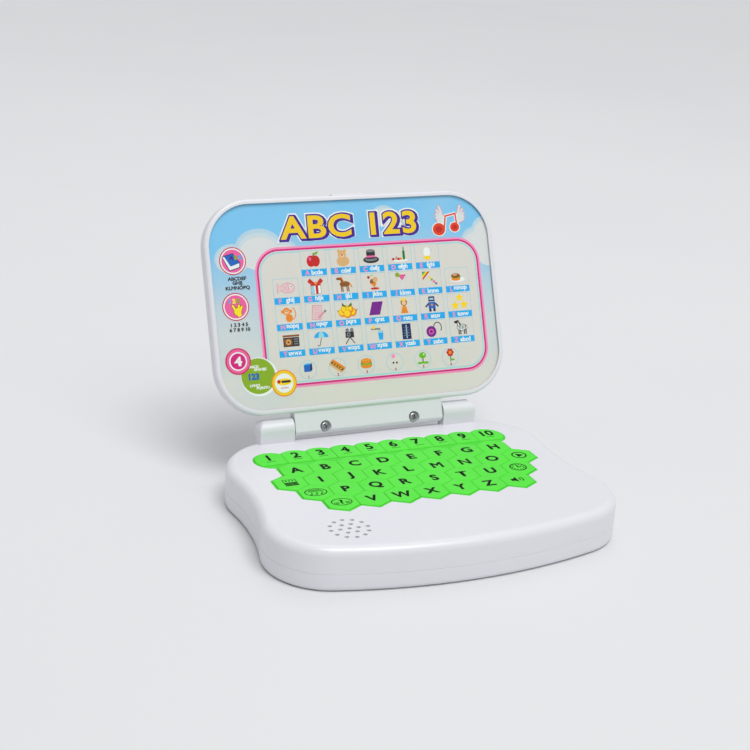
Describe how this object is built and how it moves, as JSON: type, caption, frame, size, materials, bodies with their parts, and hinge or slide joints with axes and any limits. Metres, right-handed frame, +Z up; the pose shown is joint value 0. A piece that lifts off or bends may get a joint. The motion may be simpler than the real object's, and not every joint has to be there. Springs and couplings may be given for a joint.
{
  "type": "toy laptop computer",
  "caption": "Clamshell toy laptop: white base with a green keypad of hexagonal letter keys, and a hinged lid that frames a printed picture card.",
  "frame": {"origin": "on the flat underside, under the middle of the base", "axes": "+X to the right of someone using it, +Y to the back, +Z up"},
  "size_m": [0.208, 0.2077, 0.1598],
  "materials": {
    "white_shell": "satin moulded plastic",
    "green_keys": "smooth printed key tops",
    "green_rubber": "smooth",
    "printed_card": "colour print",
    "clear_plastic": "clear and glossy",
    "steel": "plated",
    "cell_metal": "wrapped",
    "board": "paper laminate",
    "dark_metal": "satin",
    "black_plastic": "matt",
    "wire_jacket": "smooth"
  },
  "bodies": {
    "base": {"base_top_cover": "white_shell", "base_bottom_cover": "white_shell", "batteries": "cell_metal", "battery_contacts": "steel", "circuit_board": "board", "keypad_mat": "green_rubber", "speaker": "dark_metal", "switch_body": "steel", "case_screws": "steel", "hookup_wires": "wire_jacket"},
    "lid": {"lid_front_frame": "white_shell", "lid_rear_cover": "white_shell", "display_card": "printed_card", "display_window": "clear_plastic", "hinge_pins": "steel", "lid_screws": "steel"},
    "battery_door": {"battery_door": "white_shell"},
    "switch_slider": {"switch_slider": "black_plastic"},
    "key_1": {"key_1": "green_keys"},
    "key_2": {"key_2": "green_keys"},
    "key_3": {"key_3": "green_keys"},
    "key_4": {"key_4": "green_keys"},
    "key_5": {"key_5": "green_keys"},
    "key_6": {"key_6": "green_keys"},
    "key_7": {"key_7": "green_keys"},
    "key_8": {"key_8": "green_keys"},
    "key_9": {"key_9": "green_keys"},
    "key_10": {"key_10": "green_keys"},
    "key_a": {"key_a": "green_keys"},
    "key_b": {"key_b": "green_keys"},
    "key_c": {"key_c": "green_keys"},
    "key_d": {"key_d": "green_keys"},
    "key_e": {"key_e": "green_keys"},
    "key_f": {"key_f": "green_keys"},
    "key_g": {"key_g": "green_keys"},
    "key_h": {"key_h": "green_keys"},
    "key_i": {"key_i": "green_keys"},
    "key_j": {"key_j": "green_keys"},
    "key_k": {"key_k": "green_keys"},
    "key_l": {"key_l": "green_keys"},
    "key_m": {"key_m": "green_keys"},
    "key_n": {"key_n": "green_keys"},
    "key_o": {"key_o": "green_keys"},
    "key_p": {"key_p": "green_keys"},
    "key_q": {"key_q": "green_keys"},
    "key_r": {"key_r": "green_keys"},
    "key_s": {"key_s": "green_keys"},
    "key_t": {"key_t": "green_keys"},
    "key_u": {"key_u": "green_keys"},
    "key_v": {"key_v": "green_keys"},
    "key_w": {"key_w": "green_keys"},
    "key_x": {"key_x": "green_keys"},
    "key_y": {"key_y": "green_keys"},
    "key_z": {"key_z": "green_keys"},
    "key_left_1": {"key_left_1": "green_keys"},
    "key_left_2": {"key_left_2": "green_keys"},
    "key_left_3": {"key_left_3": "green_keys"},
    "key_right_1": {"key_right_1": "green_keys"},
    "key_right_2": {"key_right_2": "green_keys"},
    "key_right_3": {"key_right_3": "green_keys"}
  },
  "joints": [
    {"name": "lid_hinge", "type": "hinge", "parent": "base", "child": "lid", "pos_m": [0, 0.07574, 0.032], "axis": [-1, 0, 0], "range_deg": [-112.65, 20]},
    {"name": "battery_door_hinge", "type": "hinge", "parent": "base", "child": "battery_door", "pos_m": [0.0215, -0.0233, 0.00115], "axis": [1, 0, 0], "range_deg": [0, 95]},
    {"name": "power_switch_slide", "type": "slide", "parent": "base", "child": "switch_slider", "axis": [0, 1, 0], "range_m": [0, 0.004]},
    {"name": "key_1_press", "type": "slide", "parent": "base", "child": "key_1", "axis": [0, 0, -1], "range_m": [0, 0.0006], "stiffness_N_per_m": 100, "springref_m": -0.0003},
    {"name": "key_2_press", "type": "slide", "parent": "base", "child": "key_2", "axis": [0, 0, -1], "range_m": [0, 0.0006], "stiffness_N_per_m": 100, "springref_m": -0.0003},
    {"name": "key_3_press", "type": "slide", "parent": "base", "child": "key_3", "axis": [0, 0, -1], "range_m": [0, 0.0006], "stiffness_N_per_m": 100, "springref_m": -0.0003},
    {"name": "key_4_press", "type": "slide", "parent": "base", "child": "key_4", "axis": [0, 0, -1], "range_m": [0, 0.0006], "stiffness_N_per_m": 100, "springref_m": -0.0003},
    {"name": "key_5_press", "type": "slide", "parent": "base", "child": "key_5", "axis": [0, 0, -1], "range_m": [0, 0.0006], "stiffness_N_per_m": 100, "springref_m": -0.0003},
    {"name": "key_6_press", "type": "slide", "parent": "base", "child": "key_6", "axis": [0, 0, -1], "range_m": [0, 0.0006], "stiffness_N_per_m": 100, "springref_m": -0.0003},
    {"name": "key_7_press", "type": "slide", "parent": "base", "child": "key_7", "axis": [0, 0, -1], "range_m": [0, 0.0006], "stiffness_N_per_m": 100, "springref_m": -0.0003},
    {"name": "key_8_press", "type": "slide", "parent": "base", "child": "key_8", "axis": [0, 0, -1], "range_m": [0, 0.0006], "stiffness_N_per_m": 100, "springref_m": -0.0003},
    {"name": "key_9_press", "type": "slide", "parent": "base", "child": "key_9", "axis": [0, 0, -1], "range_m": [0, 0.0006], "stiffness_N_per_m": 100, "springref_m": -0.0003},
    {"name": "key_10_press", "type": "slide", "parent": "base", "child": "key_10", "axis": [0, 0, -1], "range_m": [0, 0.0006], "stiffness_N_per_m": 100, "springref_m": -0.0003},
    {"name": "key_a_press", "type": "slide", "parent": "base", "child": "key_a", "axis": [0, 0, -1], "range_m": [0, 0.0006], "stiffness_N_per_m": 100, "springref_m": -0.0003},
    {"name": "key_b_press", "type": "slide", "parent": "base", "child": "key_b", "axis": [0, 0, -1], "range_m": [0, 0.0006], "stiffness_N_per_m": 100, "springref_m": -0.0003},
    {"name": "key_c_press", "type": "slide", "parent": "base", "child": "key_c", "axis": [0, 0, -1], "range_m": [0, 0.0006], "stiffness_N_per_m": 100, "springref_m": -0.0003},
    {"name": "key_d_press", "type": "slide", "parent": "base", "child": "key_d", "axis": [0, 0, -1], "range_m": [0, 0.0006], "stiffness_N_per_m": 100, "springref_m": -0.0003},
    {"name": "key_e_press", "type": "slide", "parent": "base", "child": "key_e", "axis": [0, 0, -1], "range_m": [0, 0.0006], "stiffness_N_per_m": 100, "springref_m": -0.0003},
    {"name": "key_f_press", "type": "slide", "parent": "base", "child": "key_f", "axis": [0, 0, -1], "range_m": [0, 0.0006], "stiffness_N_per_m": 100, "springref_m": -0.0003},
    {"name": "key_g_press", "type": "slide", "parent": "base", "child": "key_g", "axis": [0, 0, -1], "range_m": [0, 0.0006], "stiffness_N_per_m": 100, "springref_m": -0.0003},
    {"name": "key_h_press", "type": "slide", "parent": "base", "child": "key_h", "axis": [0, 0, -1], "range_m": [0, 0.0006], "stiffness_N_per_m": 100, "springref_m": -0.0003},
    {"name": "key_i_press", "type": "slide", "parent": "base", "child": "key_i", "axis": [0, 0, -1], "range_m": [0, 0.0006], "stiffness_N_per_m": 100, "springref_m": -0.0003},
    {"name": "key_j_press", "type": "slide", "parent": "base", "child": "key_j", "axis": [0, 0, -1], "range_m": [0, 0.0006], "stiffness_N_per_m": 100, "springref_m": -0.0003},
    {"name": "key_k_press", "type": "slide", "parent": "base", "child": "key_k", "axis": [0, 0, -1], "range_m": [0, 0.0006], "stiffness_N_per_m": 100, "springref_m": -0.0003},
    {"name": "key_l_press", "type": "slide", "parent": "base", "child": "key_l", "axis": [0, 0, -1], "range_m": [0, 0.0006], "stiffness_N_per_m": 100, "springref_m": -0.0003},
    {"name": "key_m_press", "type": "slide", "parent": "base", "child": "key_m", "axis": [0, 0, -1], "range_m": [0, 0.0006], "stiffness_N_per_m": 100, "springref_m": -0.0003},
    {"name": "key_n_press", "type": "slide", "parent": "base", "child": "key_n", "axis": [0, 0, -1], "range_m": [0, 0.0006], "stiffness_N_per_m": 100, "springref_m": -0.0003},
    {"name": "key_o_press", "type": "slide", "parent": "base", "child": "key_o", "axis": [0, 0, -1], "range_m": [0, 0.0006], "stiffness_N_per_m": 100, "springref_m": -0.0003},
    {"name": "key_p_press", "type": "slide", "parent": "base", "child": "key_p", "axis": [0, 0, -1], "range_m": [0, 0.0006], "stiffness_N_per_m": 100, "springref_m": -0.0003},
    {"name": "key_q_press", "type": "slide", "parent": "base", "child": "key_q", "axis": [0, 0, -1], "range_m": [0, 0.0006], "stiffness_N_per_m": 100, "springref_m": -0.0003},
    {"name": "key_r_press", "type": "slide", "parent": "base", "child": "key_r", "axis": [0, 0, -1], "range_m": [0, 0.0006], "stiffness_N_per_m": 100, "springref_m": -0.0003},
    {"name": "key_s_press", "type": "slide", "parent": "base", "child": "key_s", "axis": [0, 0, -1], "range_m": [0, 0.0006], "stiffness_N_per_m": 100, "springref_m": -0.0003},
    {"name": "key_t_press", "type": "slide", "parent": "base", "child": "key_t", "axis": [0, 0, -1], "range_m": [0, 0.0006], "stiffness_N_per_m": 100, "springref_m": -0.0003},
    {"name": "key_u_press", "type": "slide", "parent": "base", "child": "key_u", "axis": [0, 0, -1], "range_m": [0, 0.0006], "stiffness_N_per_m": 100, "springref_m": -0.0003},
    {"name": "key_v_press", "type": "slide", "parent": "base", "child": "key_v", "axis": [0, 0, -1], "range_m": [0, 0.0006], "stiffness_N_per_m": 100, "springref_m": -0.0003},
    {"name": "key_w_press", "type": "slide", "parent": "base", "child": "key_w", "axis": [0, 0, -1], "range_m": [0, 0.0006], "stiffness_N_per_m": 100, "springref_m": -0.0003},
    {"name": "key_x_press", "type": "slide", "parent": "base", "child": "key_x", "axis": [0, 0, -1], "range_m": [0, 0.0006], "stiffness_N_per_m": 100, "springref_m": -0.0003},
    {"name": "key_y_press", "type": "slide", "parent": "base", "child": "key_y", "axis": [0, 0, -1], "range_m": [0, 0.0006], "stiffness_N_per_m": 100, "springref_m": -0.0003},
    {"name": "key_z_press", "type": "slide", "parent": "base", "child": "key_z", "axis": [0, 0, -1], "range_m": [0, 0.0006], "stiffness_N_per_m": 100, "springref_m": -0.0003},
    {"name": "key_left_1_press", "type": "slide", "parent": "base", "child": "key_left_1", "axis": [0, 0, -1], "range_m": [0, 0.0006], "stiffness_N_per_m": 100, "springref_m": -0.0003},
    {"name": "key_left_2_press", "type": "slide", "parent": "base", "child": "key_left_2", "axis": [0, 0, -1], "range_m": [0, 0.0006], "stiffness_N_per_m": 100, "springref_m": -0.0003},
    {"name": "key_left_3_press", "type": "slide", "parent": "base", "child": "key_left_3", "axis": [0, 0, -1], "range_m": [0, 0.0006], "stiffness_N_per_m": 100, "springref_m": -0.0003},
    {"name": "key_right_1_press", "type": "slide", "parent": "base", "child": "key_right_1", "axis": [0, 0, -1], "range_m": [0, 0.0006], "stiffness_N_per_m": 100, "springref_m": -0.0003},
    {"name": "key_right_2_press", "type": "slide", "parent": "base", "child": "key_right_2", "axis": [0, 0, -1], "range_m": [0, 0.0006], "stiffness_N_per_m": 100, "springref_m": -0.0003},
    {"name": "key_right_3_press", "type": "slide", "parent": "base", "child": "key_right_3", "axis": [0, 0, -1], "range_m": [0, 0.0006], "stiffness_N_per_m": 100, "springref_m": -0.0003}
  ]
}
